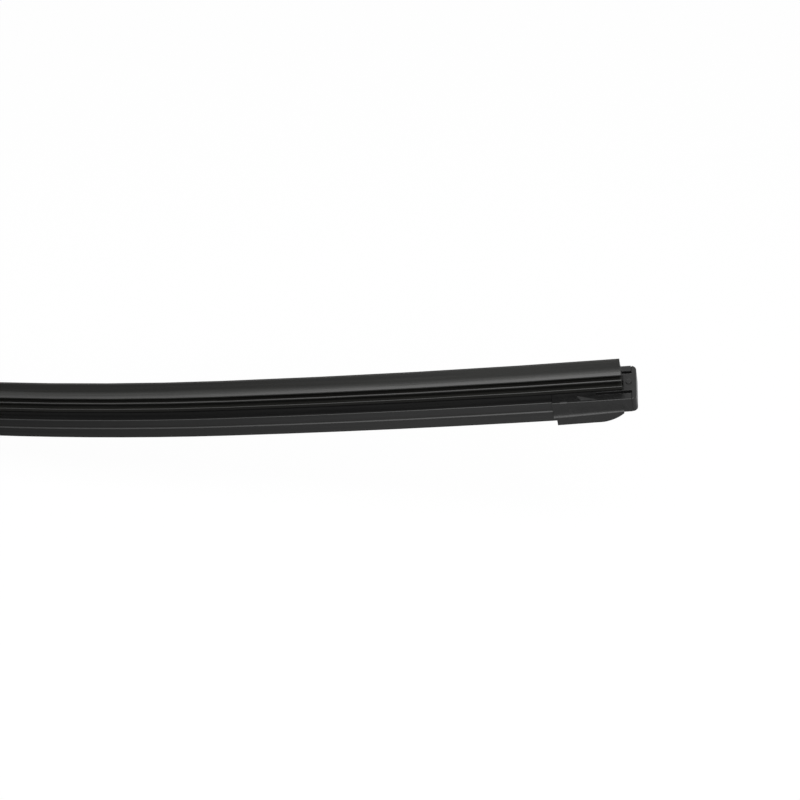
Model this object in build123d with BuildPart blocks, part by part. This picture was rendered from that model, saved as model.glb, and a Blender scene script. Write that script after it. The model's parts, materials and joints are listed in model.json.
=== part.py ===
"""Flat wiper blade: bowed spring strip, extruded holder, rubber, end caps and an arm connector."""

import os
from math import cos, degrees, isclose, sin

from build123d import *

# Bow of the blade, measured along the underside of the holder
blade_length = 550.0
centre_span = 288.0
centre_radius = 870.0
end_radius = 2530.0
underside_height = 20.5

# Wiper rubber, from the tip of the lip down to the head
lip_tip = 0.64
lip_root = 1.0
lip_length = 1.71
flare_height = 3.0
shoulder_width = 4.2
shoulder_face = 0.43
undercut_height = 0.71
tilt_web = 0.84
tilt_height = 0.8
rib_width = 4.8
rib_thickness = 0.8
web_width = 1.6
web_height = 1.36
flange_width = 6.0
flange_thickness = 1.4
neck_width = 1.8
head_width = 4.6
head_thickness = 1.1
rib_round = 0.36
flange_round = 0.2
shoulder_round = 0.19

# Spring strip
spring_width = 9.0
spring_thickness = 1.0
spring_inset = 6.0

# Holder with its wind fin
holder_width = 13.2
jaw_thickness = 0.8
floor_thickness = 0.5
roof_thickness = 1.55
ledge_drop = 3.6
ledge_depth = 0.42
ledge_flare = 0.55
skirt_height = 4.05
crest_drop = 13.5
crest_offset = 1.2
crest_width = 1.3
windward_hollow = 1.0
fin_wall = 1.1
holder_round = 0.3
ledge_round = 0.15

# End caps
cap_length = 26.0
cap_width = 14.5
cap_rise = 0.25
cap_side_height = 5.2
cap_floor = 0.35
cap_round = 0.25
hood_setback = 1.0
hood_end_gap = 4.2
hood_overhang = 1.25
hood_taper = 0.3
hood_rise = 0.7
hood_ledge = 0.5
hood_cove = 3.5
hood_round = 0.2
hood_wall = 0.6
hood_nose = 8.0
hood_lip = 1.0
tongue_length = 6.0
end_plate = 1.4
plate_groove = 0.25
plate_groove_depth = 0.45
plate_groove_side = 0.15
plate_corner = 1.8
plate_round = 0.35
stop_length = 2.65
stop_width = 7.2
stop_lift = 0.1
stop_mark = 1.8
stop_mark_inset = 0.95
stop_mark_lift = 0.3
relief_width = 1.25
relief_depth = 1.2
relief_length = 10.8
catch_start = 7.6
catch_length = 6.6
catch_width = 1.8
catch_slant = 1.5
catch_lift = 0.38
pad_start = 2.4
pad_length = 2.4
pad_height = 1.1
pad_reach = 0.9
pad_lift = 0.25

# Connector bridge
base_length = 76.0
base_depth = 5.6
cheek_thickness = 1.8
cheek_top = 40.0
cheek_root = 2.8
cheek_boss = 5.2
rivet_spacing = 52.0
rivet_shank = 2.6
rivet_head = 5.4
rivet_head_height = 0.8

# Pivot, arm adapter and lock flap
pin_diameter = 5.0
pin_head = 7.6
pin_head_height = 0.9
hook_width = 9.0
hook_thickness = 4.0
nose_diameter = 9.6
adapter_wall = 1.4
adapter_plate = 1.4
adapter_front = 12.0
adapter_back = 20.5
flap_hinge_x = -16.5
flap_hinge_z = 3.2
trunnion_diameter = 3.0
flap_boss = 2.4
flap_drop = 9.0
flap_round = 0.8

# Largest share of a wall or a head that its rounding takes
round_share = 0.45

# Clearances
neck_clearance = 0.2
head_clearance = 0.12
flange_clearance = 0.1
spring_clearance = 0.05
tongue_clearance = 0.15
butt_gap = 0.1
rubber_end_gap = 0.3
pin_clearance = 0.05
press_clearance = 0.02
side_clearance = 0.25
hook_clearance = 0.3
flap_clearance = 0.2

# Levels of the rubber above the underside of the holder
flange_low = flange_clearance
flange_top = flange_low + flange_thickness
rib_low = flange_top + web_height
rib_top = rib_low + rib_thickness
undercut_low = rib_top + tilt_height
shoulder_low = undercut_low + undercut_height
shoulder_top = shoulder_low + shoulder_face
lip_low = shoulder_top + flare_height
lip_top = lip_low + lip_length

# Levels of the holder below its underside
head_top = -jaw_thickness - head_clearance
head_low = head_top - head_thickness
channel_low = head_low - head_clearance
slot_top = channel_low - floor_thickness
spring_top = slot_top - spring_clearance
slot_low = slot_top - spring_thickness - 2 * spring_clearance
roof_low = slot_low - roof_thickness
skirt_low = -ledge_drop - skirt_height
cap_ledge = cap_rise - cap_side_height
cap_low = cap_ledge - cap_floor
tongue_top = cap_low - tongue_clearance

# Stations along the blade
half_length = blade_length / 2
centre_half = centre_span / 2
cap_middle = half_length - cap_length / 2
cap_mouth = half_length - cap_length
stop_face = half_length - end_plate - stop_length
rubber_end = stop_face - rubber_end_gap
spring_end = half_length - spring_inset
holder_start = base_length / 2 + butt_gap
holder_end = cap_mouth - butt_gap
tongue_end = cap_mouth + tongue_length

# Half widths of the skirts and of the hood around them
skirt_half = holder_width / 2 + ledge_depth
hood_half = cap_width / 2 + hood_overhang

# Widths across the connector
adapter_inside = hook_width + 2 * flap_clearance
adapter_width = adapter_inside + 2 * adapter_wall
cheek_gap = adapter_width + 2 * side_clearance
base_width = cheek_gap + 2 * cheek_thickness

# Reach of the hook around the pivot, and the length of the adapter's plate beyond it
hook_reach = nose_diameter / 2 + hook_thickness + hook_clearance
adapter_span = adapter_front + adapter_back


def bow(distance):
    """Return the x, z and slope angle of the underside at a distance along the blade from its middle."""
    inner = min(distance, centre_half) / centre_radius
    slope = inner + max(distance - centre_half, 0.0) / end_radius
    x = centre_radius * sin(inner) + end_radius * (sin(slope) - sin(inner))
    z = centre_radius * (1 - cos(inner)) + end_radius * (cos(inner) - cos(slope))
    return x, underside_height + z, slope


def station(distance):
    """Return the plane across the blade: x along the row's Y, y towards the lip, z outwards."""
    x, z, slope = bow(distance)
    return Plane(origin=(x, 0, z), x_dir=(0, 1, 0), z_dir=(cos(slope), 0, sin(slope)))


def bend(section, start, end, mode=Mode.ADD):
    """Turn a section along the bow from one distance to another, arc by arc."""
    for low, high, radius in ((0.0, centre_half, centre_radius), (centre_half, half_length, end_radius)):
        first = max(start, low)
        last = min(end, high)
        if last > first:
            plane = station(first)
            centre = plane.origin + plane.y_dir * radius
            axis = Axis(origin=centre, direction=(0, -1, 0))
            revolve(plane * section, axis=axis, revolution_arc=degrees((last - first) / radius), mode=mode)


def corners_at(vertices, half_width):
    """Return the vertices that lie at the half width, on either side."""
    return [v for v in vertices if isclose(abs(v.X), half_width, abs_tol=1e-6)]


def fin_outline(grow, half_width, top):
    """Return the closed outline of the skirts and the wind fin, grown outwards, below a level."""
    skirt = skirt_low - grow
    crest = -crest_drop - grow
    crest_left = crest_offset - crest_width / 2 - grow / 2
    crest_right = crest_offset + crest_width / 2 + grow / 2
    with BuildSketch() as outline:
        with BuildLine():
            Polyline(
                (crest_right, crest),
                (half_width, skirt),
                (half_width, top),
                (-half_width, top),
                (-half_width, skirt),
            )
            SagittaArc((-half_width, skirt), (crest_left, crest), windward_hollow)
            Line((crest_left, crest), (crest_right, crest))
        make_face()
        fillet(outline.vertices().group_by(Axis.Y)[0], radius=round_share * crest_width)
    return outline.sketch


def flare_outline(wall, depth, rise, level):
    """Return the two fillets that lead from the side walls out to a ledge at a level."""
    with BuildSketch() as flares:
        with BuildLine():
            TangentArc((wall, level + rise), (wall + depth, level), tangent=(0, -1))
            Polyline((wall + depth, level), (wall, level), (wall, level + rise))
        make_face()
        mirror(about=Plane.YZ)
    return flares.sketch


def cove_outline(wall, depth, rise, level):
    """Return the two elliptical coves that lead from the side walls out to a ledge at a level."""
    with BuildSketch() as coves:
        with BuildLine():
            EllipticalCenterArc((wall + depth, level + rise), depth, rise, start_angle=180, arc_size=90)
            Polyline((wall + depth, level), (wall, level), (wall, level + rise))
        make_face()
        mirror(about=Plane.YZ)
    return coves.sketch


# Section of the rubber
with BuildSketch() as rubber_section:
    with BuildLine():
        Polyline((0, lip_top), (lip_tip / 2, lip_top), (lip_root / 2, lip_low))
        TangentArc(
            (lip_root / 2, lip_low),
            (shoulder_width / 2, shoulder_top),
            tangent=((lip_root - lip_tip) / 2, -lip_length),
        )
        Polyline(
            (shoulder_width / 2, shoulder_top),
            (shoulder_width / 2, shoulder_low),
            (tilt_web / 2, undercut_low),
            (tilt_web / 2, rib_top),
            (rib_width / 2, rib_top),
            (rib_width / 2, rib_low),
            (web_width / 2, rib_low),
            (web_width / 2, flange_top),
            (flange_width / 2, flange_top),
            (flange_width / 2, flange_low),
            (neck_width / 2, flange_low),
            (neck_width / 2, head_top),
            (head_width / 2, head_top),
            (head_width / 2, head_low),
            (0, head_low),
            (0, lip_top),
        )
    make_face()
    mirror(about=Plane.YZ)
    for width, thickness, radius in (
        (rib_width, rib_thickness, rib_round),
        (flange_width, flange_thickness, flange_round),
        (shoulder_width, shoulder_face, shoulder_round),
    ):
        edge_corners = corners_at(rubber_section.vertices(), width / 2)
        fillet(edge_corners, radius=min(radius, round_share * thickness))

# Section of the spring strip
with BuildSketch() as spring_section:
    with Locations((0, spring_top - spring_thickness / 2)):
        RectangleRounded(spring_width, spring_thickness, round_share * spring_thickness)

# Openings along every piece that carries the rubber and the spring
with BuildSketch() as carrier_openings:
    with Locations((0, head_top)):
        Rectangle(neck_width + 2 * neck_clearance, -2 * head_top)
    with Locations((0, (channel_low - jaw_thickness) / 2)):
        Rectangle(head_width + 2 * neck_clearance, -jaw_thickness - channel_low)
    with Locations((0, (slot_top + slot_low) / 2)):
        Rectangle(spring_width + 2 * spring_clearance, slot_top - slot_low)

# Section of the holder with its hollow fin
with BuildSketch() as holder_section:
    with Locations((0, -ledge_drop / 2)):
        Rectangle(holder_width, ledge_drop)
    fillet(holder_section.vertices().group_by(Axis.Y)[-1], radius=holder_round)
    add(fin_outline(0, skirt_half, -ledge_drop))
    add(flare_outline(holder_width / 2, ledge_depth, ledge_flare, -ledge_drop))
    fillet(corners_at(holder_section.vertices(), skirt_half), radius=ledge_round)
    add(carrier_openings.sketch, mode=Mode.SUBTRACT)
    with BuildLine():
        hollow_side = holder_width / 2 - fin_wall
        Polyline(
            (-hollow_side, roof_low),
            (hollow_side, roof_low),
            (crest_offset, -crest_drop + 2 * fin_wall),
            (-hollow_side, roof_low),
        )
    make_face(mode=Mode.SUBTRACT)

# Plane of the right rivet on top of the spring strip
rivet_station = station(rivet_spacing / 2)
rivet_plane = Plane(origin=rivet_station.origin, z_dir=rivet_station.y_dir).offset(spring_top)
rivet_grip = base_depth + spring_top + press_clearance

# Wiper rubber, one length from stop to stop
with BuildPart() as wiper_rubber:
    bend(rubber_section.sketch, 0, rubber_end)
    mirror(about=Plane.YZ)

# Spring strip with the two rivet holes beside the middle
with BuildPart() as spring_strip:
    bend(spring_section.sketch, 0, spring_end)
    with BuildSketch(rivet_plane):
        Circle(rivet_shank / 2 + press_clearance)
    extrude(amount=base_depth, both=True, mode=Mode.SUBTRACT)
    mirror(about=Plane.YZ)

# Holder halves between the connector and the end caps, with a fin tongue that enters each hood
with BuildSketch() as tongue_notch:
    with Locations((0, tongue_top + crest_drop / 2)):
        Rectangle(2 * holder_width, crest_drop)
with BuildPart() as spoiler_right:
    bend(holder_section.sketch, holder_start, tongue_end)
    bend(tongue_notch.sketch, holder_end, half_length, mode=Mode.SUBTRACT)
with BuildPart() as spoiler_left:
    add(mirror(spoiler_right.part, about=Plane.YZ, mode=Mode.PRIVATE))

# Planes of the right end cap: across it, seen from the side and seen from the wiping side
cap_across = station(cap_middle)
cap_side = Plane(origin=cap_across.origin, x_dir=cap_across.z_dir, z_dir=(0, -1, 0))
cap_plan = Plane(origin=cap_across.origin, x_dir=cap_across.z_dir, z_dir=cap_across.y_dir)
cap_end = cap_length / 2
hood_start = -cap_end + hood_setback
hood_end = cap_end - hood_end_gap
hood_top = cap_ledge - hood_ledge
hood_low = skirt_low - hood_wall
hood_crest = -crest_drop - hood_wall
nose_start = hood_end - hood_nose
plate_start = cap_end - end_plate
groove_start = plate_start - plate_groove
relief_end = groove_start + plate_groove / 2
stop_start = plate_start - stop_length
rail_inner = stop_width / 2 + relief_width
wedge_start = -cap_end + catch_start
wedge_end = wedge_start + catch_length

# Catch wedges: high beside the rubber, falling outwards and towards the end
with BuildPart() as catch_wedges:
    with BuildSketch(cap_across.offset(wedge_start)):
        with BuildLine():
            Polyline(
                (rail_inner, channel_low),
                (rail_inner, cap_rise + catch_lift),
                (rail_inner + catch_width, cap_rise),
                (rail_inner + catch_width, channel_low),
                (rail_inner, channel_low),
            )
        make_face()
        mirror(about=Plane.YZ)
    extrude(amount=catch_length)
    with BuildSketch(cap_side):
        with BuildLine():
            Polyline(
                (wedge_start, channel_low),
                (wedge_start, cap_rise + catch_lift),
                (wedge_end, cap_rise),
                (wedge_end, channel_low),
                (wedge_start, channel_low),
            )
        make_face()
    extrude(amount=cap_width, both=True, mode=Mode.INTERSECT)
    with BuildSketch(cap_plan):
        with BuildLine():
            Polyline(
                (wedge_start, rail_inner),
                (wedge_start + catch_slant, rail_inner + catch_width),
                (wedge_end, rail_inner + catch_width),
                (wedge_end, rail_inner),
                (wedge_start, rail_inner),
            )
        make_face()
        mirror(about=Plane.XZ)
    extrude(amount=cap_width, both=True, mode=Mode.INTERSECT)

with BuildPart() as end_cap_right:
    # Hood around the fin under a coved ledge, with a nose that falls to the end and sides that close in
    for distance, half_width, ledge in (
        (-cap_end, hood_half, cap_ledge),
        (hood_end, hood_half - hood_taper, cap_ledge + hood_rise),
    ):
        with BuildSketch(cap_across.offset(distance)) as hood_section:
            add(fin_outline(hood_wall, half_width, ledge))
            add(cove_outline(cap_width / 2, half_width - cap_width / 2, hood_cove, ledge))
            fillet(corners_at(hood_section.vertices(), half_width), radius=hood_round)
    loft(ruled=True)
    with BuildSketch(cap_side):
        with BuildLine():
            Polyline((-cap_end, 0), (-cap_end, hood_top), (hood_start, hood_top), (hood_start, hood_crest))
            TangentArc((hood_start, hood_crest), (nose_start - hood_lip, hood_low), tangent=(1, 0))
            Line((nose_start - hood_lip, hood_low), (nose_start, hood_low))
            TangentArc((nose_start, hood_low), (hood_end, cap_ledge), tangent=(1, 0))
            Polyline((hood_end, cap_ledge), (hood_end, 0), (-cap_end, 0))
        make_face()
    extrude(amount=2 * hood_half, both=True, mode=Mode.INTERSECT)
    # Rails and floor under the hood, with the end plate behind a groove
    with BuildSketch(cap_across.offset(-cap_end)) as rail_section:
        with Locations((0, (cap_low + cap_rise) / 2)):
            Rectangle(cap_width, cap_rise - cap_low)
        fillet(rail_section.vertices().group_by(Axis.Y)[-1], radius=cap_round)
    extrude(amount=groove_start + cap_end)
    with BuildSketch(cap_across.offset(groove_start)):
        with Locations((0, (cap_low + cap_rise - plate_groove_depth) / 2)):
            Rectangle(cap_width - 2 * plate_groove_side, cap_rise - plate_groove_depth - cap_low)
    extrude(amount=plate_groove)
    with BuildSketch(cap_plan.offset(cap_low)):
        with Locations((cap_end - end_plate / 2, 0)):
            Rectangle(end_plate, cap_width)
    extrude(amount=cap_rise - cap_low)
    with BuildSketch(cap_plan.offset(cap_low)):
        for side in (-1, 1):
            with Locations((cap_end, side * cap_width / 2)):
                Rectangle(2 * plate_corner, 2 * plate_corner)
        for side in (-1, 1):
            with Locations((cap_end - plate_corner, side * (cap_width / 2 - plate_corner))):
                Circle(plate_corner, mode=Mode.SUBTRACT)
    extrude(amount=cap_rise - cap_low, mode=Mode.SUBTRACT)
    end_face = end_cap_right.faces().sort_by(Axis(cap_across.origin, cap_across.z_dir))[-1]
    plate_rim = end_face.edges().sort_by(Axis(cap_across.origin, cap_across.y_dir))[-1]
    fillet(plate_rim, radius=min(plate_round, round_share * end_plate))
    # Way for the fin tongue, the spring strip and the rubber
    with BuildSketch(cap_across.offset(-cap_end)):
        add(fin_outline(tongue_clearance, skirt_half + tongue_clearance, cap_low))
    extrude(amount=tongue_length + tongue_clearance, mode=Mode.SUBTRACT)
    with BuildSketch(cap_across.offset(-cap_end)):
        add(carrier_openings.sketch)
    extrude(amount=cap_length - spring_inset + tongue_clearance, mode=Mode.SUBTRACT)
    with BuildSketch(cap_plan):
        with Locations(((stop_start - cap_end) / 2, 0)):
            Rectangle(stop_start + cap_end, flange_width + 2 * neck_clearance)
    extrude(amount=cap_rise, mode=Mode.SUBTRACT)
    with BuildSketch(cap_plan):
        with Locations((stop_start / 2, 0)):
            Rectangle(stop_start, neck_width + 2 * neck_clearance)
    extrude(amount=channel_low, mode=Mode.SUBTRACT)
    with BuildSketch(cap_plan.offset(-jaw_thickness)):
        with Locations((stop_start / 2, 0)):
            Rectangle(stop_start, head_width + 2 * neck_clearance)
    extrude(amount=channel_low + jaw_thickness, mode=Mode.SUBTRACT)
    # Stop block behind the rubber's end, with its round mark
    with BuildSketch(cap_plan.offset(channel_low)):
        with Locations((stop_start + stop_length / 2, 0)):
            Rectangle(stop_length, stop_width)
    extrude(amount=cap_rise + stop_lift - channel_low)
    with BuildSketch(cap_plan.offset(channel_low)):
        with Locations((plate_start - stop_mark_inset, 0)):
            Circle(stop_mark / 2)
    extrude(amount=cap_rise + stop_lift + stop_mark_lift - channel_low)
    # Relief slots between the rails and the rubber
    with BuildSketch(cap_plan.offset(cap_rise)):
        for side in (-1, 1):
            with Locations((relief_end - relief_length / 2, side * (stop_width + relief_width) / 2)):
                Rectangle(relief_length, relief_width)
    extrude(amount=-relief_depth, mode=Mode.SUBTRACT)
    add(catch_wedges.part)
    # Small rounded pads over the rails' outer edges beside the mouth
    with BuildSketch(cap_across.offset(-cap_end + pad_start)) as pad_section:
        with Locations((0, cap_rise + (pad_lift - pad_height) / 2)):
            Rectangle(cap_width + 2 * pad_lift, pad_height + pad_lift)
        fillet(pad_section.vertices().group_by(Axis.Y)[-1], radius=cap_round + pad_lift)
        with Locations((0, cap_rise)):
            Rectangle(cap_width - 2 * pad_reach, 2 * (pad_height + pad_lift), mode=Mode.SUBTRACT)
    extrude(amount=pad_length)
with BuildPart() as end_cap_left:
    add(mirror(end_cap_right.part, about=Plane.YZ, mode=Mode.PRIVATE))

# Connector bridge around the spring and the rubber, with two cheeks for the pivot pin
with BuildSketch() as base_section:
    with Locations((0, -base_depth / 2)):
        Rectangle(base_width, base_depth)
    fillet(base_section.vertices(), radius=holder_round)
    add(carrier_openings.sketch, mode=Mode.SUBTRACT)
with BuildPart() as connector_base:
    bend(base_section.sketch, 0, base_length / 2)
    with BuildSketch(rivet_plane):
        Circle(rivet_shank / 2 + press_clearance)
    extrude(amount=-base_depth, mode=Mode.SUBTRACT)
    mirror(about=Plane.YZ)
    with BuildSketch(Plane.XZ.offset(cheek_gap / 2)):
        Circle(cheek_boss)
        with Locations((0, underside_height - base_depth + cheek_root / 2)):
            Rectangle(cheek_top, cheek_root)
        make_hull()
        Circle(pin_diameter / 2 + press_clearance, mode=Mode.SUBTRACT)
    extrude(amount=cheek_thickness)
    mirror(about=Plane.XZ)

# Rivets from the outside of the bridge up through the spring strip
with BuildPart() as base_rivets:
    with BuildSketch(rivet_plane):
        Circle(rivet_shank / 2)
    extrude(amount=-rivet_grip)
    with BuildSketch(rivet_plane.offset(-rivet_grip)):
        Circle(rivet_head / 2)
    extrude(amount=-rivet_head_height)
    fillet(base_rivets.edges().sort_by(Axis.Z)[0], radius=round_share * rivet_head_height)
    mirror(about=Plane.YZ)

# Pivot pin, riveted over outside both cheeks
with BuildPart() as pivot_pin:
    with BuildSketch(Plane.XZ):
        Circle(pin_diameter / 2)
    extrude(amount=base_width / 2, both=True)
    for side in (-1, 1):
        with BuildSketch(Plane.XZ.offset(side * base_width / 2)):
            Circle(pin_head / 2)
        extrude(amount=side * pin_head_height)
    outer_rims = pivot_pin.edges().filter_by(GeomType.CIRCLE).group_by(Axis.Y)
    fillet(outer_rims[0] + outer_rims[-1], radius=round_share * pin_head_height)

# Arm adapter: a channel for the arm's hook, with the nose that the hook's bend wraps around
with BuildPart() as arm_adapter:
    with BuildSketch(Plane.XZ):
        Circle(nose_diameter / 2 + adapter_wall)
        with Locations((flap_hinge_x, flap_hinge_z)):
            Circle(trunnion_diameter / 2 + adapter_wall)
        with Locations((adapter_front - adapter_span / 2, hook_reach)):
            Rectangle(adapter_span, 2 * adapter_plate)
        make_hull()
    extrude(amount=adapter_width / 2, both=True)
    with BuildSketch(Plane.XZ):
        with Locations((0, hook_reach - adapter_span)):
            Rectangle(2 * adapter_span, 2 * adapter_span)
    extrude(amount=adapter_inside / 2, both=True, mode=Mode.SUBTRACT)
    with BuildSketch(Plane.XZ):
        Circle(nose_diameter / 2)
    extrude(amount=adapter_inside / 2, both=True)
    with BuildSketch(Plane.XZ):
        Circle(pin_diameter / 2 + pin_clearance)
        with Locations((flap_hinge_x, flap_hinge_z)):
            Circle(trunnion_diameter / 2 + pin_clearance)
    extrude(amount=adapter_width, both=True, mode=Mode.SUBTRACT)

# Lock flap behind the hook's bend, on two trunnions in the adapter's sides
with BuildPart() as lock_flap:
    with BuildSketch(Plane.XZ):
        with Locations((flap_hinge_x, flap_hinge_z)):
            Circle(flap_boss)
        with Locations((-hook_reach - flap_boss, flap_hinge_z + flap_round)):
            Circle(flap_round)
        with Locations((-hook_reach, flap_hinge_z - flap_drop)):
            Circle(flap_round)
        make_hull()
        Circle(hook_reach + hook_clearance, mode=Mode.SUBTRACT)
    extrude(amount=adapter_inside / 2 - flap_clearance, both=True)
    with BuildSketch(Plane.XZ):
        with Locations((flap_hinge_x, flap_hinge_z)):
            Circle(trunnion_diameter / 2)
    extrude(amount=adapter_width / 2, both=True)

os.makedirs("parts", exist_ok=True)
for name, builder in {
    "wiper_rubber": wiper_rubber,
    "spring_strip": spring_strip,
    "spoiler_right": spoiler_right,
    "spoiler_left": spoiler_left,
    "end_cap_right": end_cap_right,
    "end_cap_left": end_cap_left,
    "connector_base": connector_base,
    "base_rivets": base_rivets,
    "pivot_pin": pivot_pin,
    "arm_adapter": arm_adapter,
    "lock_flap": lock_flap,
}.items():
    builder.part.label = name
    export_step(builder.part, f"parts/{name}.step")
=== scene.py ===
"""Looks of a flat wiper blade: finishes, rounded mouldings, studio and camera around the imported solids."""

from __future__ import annotations

import json
import logging
import math
from dataclasses import dataclass
from enum import Enum

import bmesh
import bpy
from mathutils import Matrix, Vector


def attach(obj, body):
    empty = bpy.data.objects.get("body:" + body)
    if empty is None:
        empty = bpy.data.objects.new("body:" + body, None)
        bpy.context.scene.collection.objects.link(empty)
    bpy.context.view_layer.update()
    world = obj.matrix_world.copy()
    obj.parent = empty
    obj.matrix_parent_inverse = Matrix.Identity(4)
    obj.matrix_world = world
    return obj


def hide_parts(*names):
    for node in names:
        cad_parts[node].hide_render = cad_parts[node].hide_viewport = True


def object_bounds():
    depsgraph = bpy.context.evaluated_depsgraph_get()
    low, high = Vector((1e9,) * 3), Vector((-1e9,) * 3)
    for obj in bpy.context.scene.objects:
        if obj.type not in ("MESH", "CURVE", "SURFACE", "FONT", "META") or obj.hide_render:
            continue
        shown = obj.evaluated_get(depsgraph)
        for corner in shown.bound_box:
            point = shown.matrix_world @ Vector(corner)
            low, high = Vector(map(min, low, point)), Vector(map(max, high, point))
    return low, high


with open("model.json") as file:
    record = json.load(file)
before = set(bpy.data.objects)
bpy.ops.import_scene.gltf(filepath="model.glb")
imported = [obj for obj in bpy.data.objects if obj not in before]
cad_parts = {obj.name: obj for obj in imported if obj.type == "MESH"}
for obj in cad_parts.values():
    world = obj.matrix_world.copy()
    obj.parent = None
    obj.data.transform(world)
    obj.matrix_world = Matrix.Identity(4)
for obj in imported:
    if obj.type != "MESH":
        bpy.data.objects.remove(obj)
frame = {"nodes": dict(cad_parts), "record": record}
CAD_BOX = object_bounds()

MM = 0.001
WHITE = (1.0, 1.0, 1.0, 1.0)
log = logging.getLogger("wiper_blade")

Socket = bpy.types.NodeSocket
Tree = bpy.types.NodeTree
Piece = bpy.types.Object


class Grain(Enum):
    """How a surface was made, which gives its relief a direction."""

    EXTRUDED = "die lines along the blade"
    MOULDED = "even grain of a spark-eroded tool"
    ROLLED = "fine lines along the strip"


def linear(hex_colour: str) -> tuple[float, float, float, float]:
    """Turn an sRGB hex colour into linear light.

    Args:
        hex_colour: Six hex digits after a hash sign.

    Returns:
        Linear red, green, blue and an alpha of one.
    """
    channels = [int(hex_colour[i : i + 2], 16) / 255 for i in (1, 3, 5)]
    light = [c / 12.92 if c <= 0.04045 else ((c + 0.055) / 1.055) ** 2.4 for c in channels]
    return light[0], light[1], light[2], 1.0


def add_node(
    tree: Tree,
    kind: str,
    settings: dict[str, object] | None = None,
    **links: Socket | float | tuple[float, ...],
) -> bpy.types.Node:
    """Add a shader node, set its properties and feed its inputs.

    Args:
        tree: The node tree to add to.
        kind: The node's type name.
        settings: Properties of the node by name.
        links: Inputs by name with spaces as underscores, or by in0, in1 and so on. A socket is linked and a
            value is set.

    Returns:
        The new node.
    """
    node = tree.nodes.new(kind)
    for name, value in (settings or {}).items():
        setattr(node, name, value)
    for name, value in links.items():
        key = int(name[2:]) if name[:2] == "in" and name[2:].isdigit() else name.replace("_", " ")
        socket = node.inputs[key]
        if isinstance(value, Socket):
            tree.links.new(value, socket)
        else:
            socket.default_value = value
    return node


@dataclass(frozen=True)
class Bow:
    """Line of the holder's underside in metres: a tight arc in the middle, a wider one towards each end."""

    underside_height: float = 20.5 * MM
    centre_half: float = 144.0 * MM
    centre_radius: float = 870.0 * MM
    end_radius: float = 2530.0 * MM

    def joint(self) -> tuple[float, float, float]:
        """Find where the two arcs meet.

        Returns:
            The x, the z and the slope there.
        """
        slope = self.centre_half / self.centre_radius
        x = self.centre_radius * math.sin(slope)
        z = self.underside_height + self.centre_radius * (1 - math.cos(slope))
        return x, z, slope

    def height_socket(self, tree: Tree, point: Socket) -> Socket:
        """Work out, in nodes, how far a point lies above the bowed underside.

        Args:
            tree: The material's node tree.
            point: The point in Object coordinates.

        Returns:
            The socket that gives the height in metres.
        """
        meet_x, meet_z, slope = self.joint()
        end_x = meet_x - self.end_radius * math.sin(slope)
        end_z = meet_z + self.end_radius * math.cos(slope)
        arcs = (
            (0.0, self.underside_height + self.centre_radius, self.centre_radius),
            (end_x, end_z, self.end_radius),
        )
        away = add_node(tree, "ShaderNodeVectorMath", {"operation": "ABSOLUTE"}, in0=point).outputs[0]
        flat = add_node(
            tree, "ShaderNodeVectorMath", {"operation": "MULTIPLY"}, in0=away, in1=(1, 0, 1)
        ).outputs[0]
        heights = []
        for x, z, radius in arcs:
            reach = add_node(
                tree, "ShaderNodeVectorMath", {"operation": "DISTANCE"}, in0=flat, in1=(x, 0, z)
            ).outputs["Value"]
            height = add_node(tree, "ShaderNodeMath", {"operation": "SUBTRACT"}, in0=radius, in1=reach)
            heights.append(height.outputs[0])
        along = add_node(tree, "ShaderNodeSeparateXYZ", in0=away).outputs["X"]
        outer = add_node(
            tree, "ShaderNodeMath", {"operation": "GREATER_THAN"}, in0=along, in1=meet_x
        ).outputs[0]
        return add_node(
            tree, "ShaderNodeMix", {"data_type": "FLOAT"}, in0=outer, in2=heights[0], in3=heights[1]
        ).outputs[0]


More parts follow.
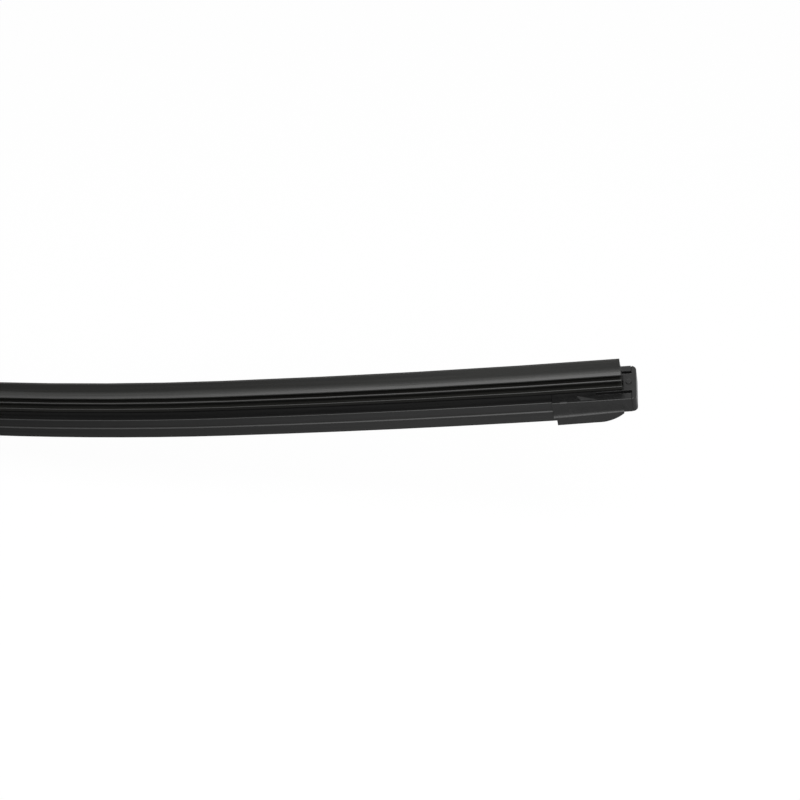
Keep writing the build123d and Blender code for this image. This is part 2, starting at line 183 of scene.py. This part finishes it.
@dataclass(frozen=True)
class Finish:
    """A surface: its colours, gloss and relief, with the sizes of its pattern in millimetres.

    The limits are the parts of the noise over which the tint and the gloss change.
    """

    name: str
    grain: Grain
    dark: str
    light: str
    roughness: float
    roughness_spread: float
    specular: float = 0.5
    metallic: float = 0.0
    line_width: float = 0.5
    line_length: float = 60.0
    cloud: float = 9.0
    relief: float = 0.01
    relief_strength: float = 1.0
    edge: float = 0.0
    # Offset of the pattern in widths; on the holder it lays a dark streak where the rubber shades the jaws,
    # as painted shade.
    shade_streak_shift: float = 0.0
    line_detail: float = 3.0
    line_falloff: float = 0.55
    cloud_detail: float = 4.0
    cloud_falloff: float = 0.6
    tint_limits: tuple[float, float] = (0.12, 0.42)
    gloss_limits: tuple[float, float] = (0.3, 0.7)
    edge_samples: int = 4

    def pattern_place(self, tree: Tree, point: Socket, bow: Bow) -> Socket:
        """Measure a point in widths of the pattern, along the bow where the pattern runs along the blade.

        Args:
            tree: The material's node tree.
            point: The point in Object coordinates.
            bow: The blade's line.

        Returns:
            The socket of the scaled point.
        """
        fine = 1 / (self.line_width * MM)
        if self.grain is Grain.MOULDED:
            place = point
            scale = (fine, fine, fine)
        else:
            across = add_node(tree, "ShaderNodeSeparateXYZ", in0=point).outputs
            height = bow.height_socket(tree, point)
            place = add_node(tree, "ShaderNodeCombineXYZ", X=across["X"], Y=across["Y"], Z=height).outputs[0]
            scale = (1 / (self.line_length * MM), fine, fine)
        # The offset can lay a dark streak of the grain where shade falls: painted shade.
        shade_streak_offset = (self.shade_streak_shift, self.shade_streak_shift, self.shade_streak_shift)
        return add_node(
            tree, "ShaderNodeVectorMath", {"operation": "MULTIPLY_ADD"}, in0=place, in1=scale, in2=shade_streak_offset
        ).outputs[0]

    def material(self, bow: Bow) -> bpy.types.Material:
        """Build the procedural material.

        Args:
            bow: The blade's line, which the lines of an extrusion follow.

        Returns:
            The material, on Object coordinates.
        """
        material = bpy.data.materials.new(self.name)
        material.use_nodes = True
        tree = material.node_tree
        shader = tree.nodes["Principled BSDF"]
        point = add_node(tree, "ShaderNodeTexCoord").outputs["Object"]
        spot = self.pattern_place(tree, point, bow)
        lines = add_node(
            tree,
            "ShaderNodeTexNoise",
            Vector=spot,
            Scale=1.0,
            Detail=self.line_detail,
            Roughness=self.line_falloff,
        ).outputs["Fac"]
        clouds = add_node(
            tree,
            "ShaderNodeTexNoise",
            Vector=spot,
            Scale=self.line_width / self.cloud,
            Detail=self.cloud_detail,
            Roughness=self.cloud_falloff,
        ).outputs["Fac"]
        blend = add_node(tree, "ShaderNodeMath", {"operation": "MULTIPLY"}, in0=lines, in1=clouds).outputs[0]
        tint_low, tint_high = self.tint_limits
        tint = add_node(
            tree, "ShaderNodeMapRange", Value=blend, From_Min=tint_low, From_Max=tint_high
        ).outputs[0]
        colour = add_node(
            tree,
            "ShaderNodeMix",
            {"data_type": "RGBA"},
            in0=tint,
            in6=linear(self.dark),
            in7=linear(self.light),
        ).outputs[2]
        gloss = add_node(
            tree,
            "ShaderNodeMapRange",
            Value=clouds,
            From_Min=self.gloss_limits[0],
            From_Max=self.gloss_limits[1],
            To_Min=self.roughness - self.roughness_spread,
            To_Max=self.roughness + self.roughness_spread,
        ).outputs[0]
        bump = add_node(
            tree, "ShaderNodeBump", Height=lines, Strength=self.relief_strength, Distance=self.relief * MM
        )
        if self.edge:
            softened = add_node(
                tree, "ShaderNodeBevel", {"samples": self.edge_samples}, Radius=self.edge * MM
            ).outputs[0]
            tree.links.new(softened, bump.inputs["Normal"])
        tree.links.new(colour, shader.inputs["Base Color"])
        tree.links.new(gloss, shader.inputs["Roughness"])
        tree.links.new(bump.outputs[0], shader.inputs["Normal"])
        shader.inputs["Metallic"].default_value = self.metallic
        shader.inputs["Specular IOR Level"].default_value = self.specular
        return material


# Black natural rubber with a graphite coating, extruded and slit: satin, with faint streaks along its length.
# Real die lines are about 0.1 mm wide; these and the grains below are drawn coarser, so that they show.
SQUEEGEE = Finish(
    "coated_squeegee_rubber",
    Grain.EXTRUDED,
    dark="#0c0c0b",
    light="#1f1f1d",
    roughness=0.33,
    roughness_spread=0.07,
    specular=0.46,
    line_width=0.8,
    relief=0.05,
)
# Black thermoplastic elastomer, extruded: satin, a little softer than the rubber, with die lines,
# offset so that a dark die-line streak lies on the jaws beside the rubber as painted shade, where the rubber
# shades them
HOLDER = Finish(
    "extruded_elastomer",
    Grain.EXTRUDED,
    dark="#080808",
    light="#181818",
    roughness=0.33,
    roughness_spread=0.07,
    specular=0.38,
    line_width=0.8,
    relief=0.05,
    shade_streak_shift=14.9,
)
# Black acetal, injection moulded in a spark-eroded tool: an even fine grain, with edges softened by the tool
CAP = Finish(
    "moulded_acetal",
    Grain.MOULDED,
    dark="#0a0a0a",
    light="#1a1a1a",
    roughness=0.31,
    roughness_spread=0.06,
    specular=0.37,
    line_width=0.6,
    relief=0.04,
    edge=0.2,
)
# Black glass-filled nylon, moulded: duller, with a coarser grain
CONNECTOR = Finish(
    "moulded_nylon",
    Grain.MOULDED,
    dark="#111111",
    light="#242424",
    roughness=0.46,
    roughness_spread=0.07,
    specular=0.4,
    line_width=0.7,
    relief=0.05,
    edge=0.4,
)
# Dark grey acetal, moulded: satin
ADAPTER = Finish(
    "moulded_grey_acetal",
    Grain.MOULDED,
    dark="#191a1b",
    light="#2f2f30",
    roughness=0.42,
    roughness_spread=0.06,
    specular=0.4,
    line_width=0.6,
    relief=0.04,
)
# Cold-rolled spring steel: bright grey with rolling lines
SPRING = Finish(
    "rolled_spring_steel",
    Grain.ROLLED,
    dark="#8f9194",
    light="#a9abad",
    roughness=0.3,
    roughness_spread=0.06,
    metallic=1.0,
    line_width=0.25,
    relief_strength=0.5,
)
# Zinc-plated mild steel, headed: soft grey sheen
RIVET = Finish(
    "zinc_plated_steel",
    Grain.MOULDED,
    dark="#a2a4a6",
    light="#bcbec0",
    roughness=0.34,
    roughness_spread=0.08,
    metallic=1.0,
    relief_strength=0.5,
)


@dataclass(frozen=True)
class EdgeRounding:
    """Rounding that a moulding tool leaves on the sharp edges of a solid, in metres and radians."""

    radius: float
    segments: int = 2
    sharp_angle: float = math.radians(32)
    flat_angle: float = math.radians(0.4)
    merge_distance: float = 0.002 * MM

    def replace(self, node: str) -> Piece:
        """Copy a solid with its sharp edges rounded, and show the copy in the solid's place.

        Args:
            node: The solid's name in the frame.

        Returns:
            The rounded piece, which rides on the solid's body.
        """
        shape = bmesh.new()
        shape.from_mesh(frame["nodes"][node].data)
        bmesh.ops.remove_doubles(shape, verts=shape.verts, dist=self.merge_distance)
        bmesh.ops.dissolve_limit(shape, angle_limit=self.flat_angle, verts=shape.verts, edges=shape.edges)
        closed = [edge for edge in shape.edges if edge.is_manifold]
        sharp = [edge for edge in closed if edge.calc_face_angle() > self.sharp_angle]
        bmesh.ops.bevel(
            shape,
            geom=sharp,
            offset=self.radius,
            offset_type="OFFSET",
            affect="EDGES",
            segments=self.segments,
            profile=0.5,
            material=-1,
        )
        mesh = bpy.data.meshes.new(f"{node}_rounded")
        shape.to_mesh(mesh)
        shape.free()
        mesh.shade_smooth()
        mesh.set_sharp_from_angle(angle=self.sharp_angle)
        piece = bpy.data.objects.new(f"{node}_rounded", mesh)
        bpy.context.scene.collection.objects.link(piece)
        piece.modifiers.new("even_shading", "WEIGHTED_NORMAL").keep_sharp = True
        record = frame["record"]
        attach(piece, next(body for body, nodes in record["behaviour"]["bodies"].items() if node in nodes))
        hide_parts(node)
        return piece


def paint(finish: Finish, bow: Bow, *pieces: Piece) -> None:
    """Give pieces one finish all over, and report each.

    Args:
        finish: The finish.
        bow: The blade's line, which the finish may follow.
        pieces: The pieces that share it.
    """
    material = finish.material(bow)
    for piece in pieces:
        piece.data.materials.clear()
        piece.data.materials.append(material)
        log.info("%s is %s", piece.name, finish.name)


@dataclass(frozen=True)
class Squeegee:
    """The wiping rubber, one extrusion from stop to stop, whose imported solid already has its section."""

    finish: Finish = SQUEEGEE

    def dress(self, bow: Bow) -> None:
        """Coat the rubber, with its lines along the bow."""
        paint(self.finish, bow, frame["nodes"]["wiper_rubber"])


@dataclass(frozen=True)
class SpringHolder:
    """The spring strip and the two halves of the extruded holder around it."""

    strip: Finish = SPRING
    profile: Finish = HOLDER

    def dress(self, bow: Bow) -> None:
        """Finish the strip as rolled steel and the halves as extruded elastomer."""
        paint(self.strip, bow, frame["nodes"]["spring_strip"])
        paint(self.profile, bow, frame["nodes"]["spoiler_right"], frame["nodes"]["spoiler_left"])


@dataclass(frozen=True)
class EndCaps:
    """The moulded caps at both ends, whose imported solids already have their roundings."""

    finish: Finish = CAP

    def dress(self, bow: Bow) -> None:
        """Give both caps the moulded grain."""
        paint(self.finish, bow, frame["nodes"]["end_cap_right"], frame["nodes"]["end_cap_left"])


@dataclass(frozen=True)
class ArmConnector:
    """The bridge at the middle, the adapter for the arm's hook and its flap, with the rivets and the pin."""

    adapter_edge: float = 0.35 * MM
    flap_edge: float = 0.3 * MM
    bridge_finish: Finish = CONNECTOR
    adapter_finish: Finish = ADAPTER
    metal: Finish = RIVET

    def build(self) -> tuple[Piece, Piece]:
        """Round the edges of the two mouldings that move.

        Returns:
            The adapter and the flap.
        """
        adapter = EdgeRounding(self.adapter_edge).replace("arm_adapter")
        flap = EdgeRounding(self.flap_edge).replace("lock_flap")
        return adapter, flap

    def dress(self, bow: Bow) -> None:
        """Build the rounded mouldings, then finish them, the bridge and the metal parts.

        Args:
            bow: The blade's line.
        """
        paint(self.bridge_finish, bow, frame["nodes"]["connector_base"])
        paint(self.adapter_finish, bow, *self.build())
        paint(self.metal, bow, frame["nodes"]["base_rivets"], frame["nodes"]["pivot_pin"])


@dataclass(frozen=True)
class CameraRig:
    """Camera of the photograph's view, turned by azimuth, elevation and roll about a point on the blade."""

    azimuth_deg: float = -3.9
    elevation_deg: float = 46.4
    roll_deg: float = -1.8
    distance: float = 478.8 * MM
    target: tuple[float, float, float] = (199.1 * MM, 0.0, 40.73 * MM)
    focal_pixels: float = 1503.5
    image_pixels: float = 800.0
    sensor: float = 36.0

    def build(self) -> Piece:
        """Create the camera and make it the scene's own.

        Returns:
            The camera object.
        """
        azimuth = math.radians(self.azimuth_deg)
        elevation = math.radians(self.elevation_deg)
        roll = math.radians(self.roll_deg)
        level = math.cos(elevation)
        forward = Vector((math.sin(azimuth) * level, math.cos(azimuth) * level, -math.sin(elevation)))
        right = Vector((math.cos(azimuth), -math.sin(azimuth), 0.0))
        up = right.cross(forward)
        turned_right = right * math.cos(roll) - up * math.sin(roll)
        turned_up = right * math.sin(roll) + up * math.cos(roll)
        eye = Vector(self.target) - forward * self.distance
        data = bpy.data.cameras.new("photo_camera")
        data.sensor_width = self.sensor
        data.lens = self.focal_pixels * self.sensor / self.image_pixels
        camera = bpy.data.objects.new("photo_camera", data)
        axes = Matrix((turned_right, turned_up, -forward)).transposed()
        camera.matrix_world = Matrix.Translation(eye) @ axes.to_4x4()
        bpy.context.scene.collection.objects.link(camera)
        bpy.context.scene.camera = camera
        return camera


@dataclass(frozen=True)
class SoftBox:
    """A rectangular studio lamp that looks at a point, in metres, with its brightness against white paper."""

    name: str
    place: tuple[float, float, float]
    aim: tuple[float, float, float]
    width: float
    height: float
    brightness: float

    def build(self) -> Piece:
        """Create the lamp.

        Returns:
            The lamp object.
        """
        data = bpy.data.lights.new(self.name, "AREA")
        data.shape = "RECTANGLE"
        data.size = self.width
        data.size_y = self.height
        data.energy = math.pi * self.width * self.height * self.brightness
        lamp = bpy.data.objects.new(self.name, data)
        heading = Vector(self.aim) - Vector(self.place)
        turn = heading.to_track_quat("-Z", "Y").to_matrix().to_4x4()
        lamp.matrix_world = Matrix.Translation(self.place) @ turn
        bpy.context.scene.collection.objects.link(lamp)
        return lamp


@dataclass(frozen=True)
class Studio:
    """White floor over a grey sheet of painted shade that only reflections and bounce light see, darker
    towards the left of the blade and painted lighter behind it; even sky and soft boxes.
    """

    floor_half: float = 6.0
    floor_drop: float = 2.0 * MM
    # Painted shade: the sheet's colour, seen only by reflection and bounce rays, darkens from right to left,
    # standing in for the light falling off at the left.
    shade_sheet_left: str = "#5A5A5A"
    shade_sheet_right: str = "#C0C0C0"
    shade_ramp_span: tuple[float, float] = (0.04, 0.2)
    # Painted light: the sheet is made lighter behind the blade, so that faces turned away from the camera
    # catch a painted reflection.
    painted_rear_light: str = "#F0F0F0"
    rear_light_span: tuple[float, float] = (0.03, 0.15)
    floor_shadow: float = 0.04
    # Glow share of the floor in reflections: low on the camera's side, a painted shade in the blade's
    # reflections; high behind, a painted light.
    dimmed_near_mirror_glow: float = 0.2
    raised_rear_mirror_glow: float = 0.7
    sky_level: float = 0.15
    boxes: tuple[SoftBox, ...] = (
        SoftBox(
            "right_overhead",
            place=(0.42, -0.38, 0.68),
            aim=(0.42, 0.0, 0.05),
            width=0.42,
            height=0.9,
            brightness=4.9,
        ),
        SoftBox(
            "left_overhead",
            place=(0.0, -0.38, 0.68),
            aim=(0.0, 0.0, 0.05),
            width=0.42,
            height=0.9,
            brightness=3.0,
        ),
        SoftBox(
            "rear_low",
            place=(0.1, 0.9, 0.16),
            aim=(0.1, 0.0, 0.03),
            width=1.0,
            height=0.25,
            brightness=1.5,
        ),
    )

    def build(self) -> None:
        """Create the floor, the sky and the lamps."""
        self.build_floor()
        self.build_sky()
        for box in self.boxes:
            box.build()

    def seen(self, tree: Tree) -> Socket:
        """Tell rays that show the background from rays that only light the blade.

        Args:
            tree: The node tree to add to.

        Returns:
            A socket that is one for camera, mirror and see-through rays.
        """
        rays = add_node(tree, "ShaderNodeLightPath").outputs
        direct = add_node(
            tree,
            "ShaderNodeMath",
            {"operation": "MAXIMUM"},
            in0=rays["Is Camera Ray"],
            in1=rays["Is Glossy Ray"],
        ).outputs[0]
        return add_node(
            tree, "ShaderNodeMath", {"operation": "MAXIMUM"}, in0=direct, in1=rays["Is Transmission Ray"]
        ).outputs[0]

    def floor_material(self) -> bpy.types.Material:
        """Build the white floor: faintly shaded where it is seen; where it lights the blade or shows in it as
        a reflection, a sheet of painted shade, darker at the left and painted lighter behind, glowing less on
        the camera's side than behind.

        Returns:
            The material, on Object coordinates.
        """
        material = bpy.data.materials.new("white_sweep_over_painted_shade")
        material.use_nodes = True
        tree = material.node_tree
        tree.nodes.remove(tree.nodes["Principled BSDF"])
        rays = add_node(tree, "ShaderNodeLightPath").outputs
        point = add_node(tree, "ShaderNodeTexCoord").outputs["Object"]
        place = add_node(tree, "ShaderNodeSeparateXYZ", in0=point).outputs
        # Painted shade: the reflected sheet is dark at the left and lighter at the right, and painted lighter
        # behind the blade.
        shade_ramp_start, shade_ramp_end = self.shade_ramp_span
        shade_ramp_mask = add_node(
            tree, "ShaderNodeMapRange", Value=place["X"], From_Min=shade_ramp_start, From_Max=shade_ramp_end
        ).outputs[0]
        rear_light_start, rear_light_end = self.rear_light_span
        behind = add_node(
            tree, "ShaderNodeMapRange", Value=place["Y"], From_Min=rear_light_start, From_Max=rear_light_end
        ).outputs[0]
        shade_ramp_colour = add_node(
            tree,
            "ShaderNodeMix",
            {"data_type": "RGBA"},
            in0=shade_ramp_mask,
            in6=linear(self.shade_sheet_left),
            in7=linear(self.shade_sheet_right),
        ).outputs[2]
        sheet = add_node(
            tree, "ShaderNodeMix", {"data_type": "RGBA"}, in0=behind, in6=shade_ramp_colour, in7=linear(self.painted_rear_light)
        ).outputs[2]
        paper = add_node(
            tree, "ShaderNodeMix", {"data_type": "RGBA"}, in0=rays["Is Camera Ray"], in6=sheet, in7=WHITE
        ).outputs[2]
        matte = add_node(tree, "ShaderNodeBsdfDiffuse", Color=paper).outputs[0]
        glow = add_node(tree, "ShaderNodeEmission", Strength=1.0).outputs[0]
        clear = add_node(
            tree, "ShaderNodeMath", {"operation": "MULTIPLY"}, in0=self.seen(tree), in1=1 - self.floor_shadow
        ).outputs[0]
        # Painted reflection: reflection rays see less of the glow on the camera's side than behind the blade.
        mirror_glow_share = add_node(
            tree, "ShaderNodeMapRange", Value=behind, To_Min=self.dimmed_near_mirror_glow, To_Max=self.raised_rear_mirror_glow
        ).outputs[0]
        share = add_node(
            tree,
            "ShaderNodeMix",
            {"data_type": "FLOAT"},
            in0=rays["Is Glossy Ray"],
            in2=clear,
            in3=mirror_glow_share,
        ).outputs[0]
        mixed = add_node(tree, "ShaderNodeMixShader", in0=share, in1=matte, in2=glow).outputs[0]
        tree.links.new(mixed, tree.nodes["Material Output"].inputs["Surface"])
        return material

    def build_floor(self) -> None:
        """Create the floor just under the lowest point of the blade."""
        shape = bmesh.new()
        lift = Matrix.Translation((0.0, 0.0, CAD_BOX[0][2] - self.floor_drop))
        bmesh.ops.create_grid(shape, x_segments=1, y_segments=1, size=self.floor_half, matrix=lift)
        mesh = bpy.data.meshes.new("floor")
        shape.to_mesh(mesh)
        shape.free()
        mesh.materials.append(self.floor_material())
        floor = bpy.data.objects.new("floor", mesh)
        bpy.context.scene.collection.objects.link(floor)

    def build_sky(self) -> None:
        """Create the even sky: white where it is seen, and the fill light elsewhere."""
        world = bpy.data.worlds.new("studio_sky")
        world.use_nodes = True
        bpy.context.scene.world = world
        tree = world.node_tree
        white = add_node(
            tree, "ShaderNodeMix", {"data_type": "FLOAT"}, in0=self.seen(tree), in2=self.sky_level, in3=1.0
        ).outputs[0]
        tree.links.new(white, tree.nodes["Background"].inputs["Strength"])
        tree.nodes["Background"].inputs["Color"].default_value = WHITE


def main() -> None:
    """Dress the sub-assemblies, then set the stage and the camera."""
    logging.basicConfig(level=logging.INFO)
    bpy.context.scene.view_settings.view_transform = "Standard"
    bow = Bow()
    for assembly in (Squeegee(), SpringHolder(), EndCaps(), ArmConnector()):
        assembly.dress(bow)
    Studio().build()
    CameraRig().build()


if __name__ == "__main__":
    main()
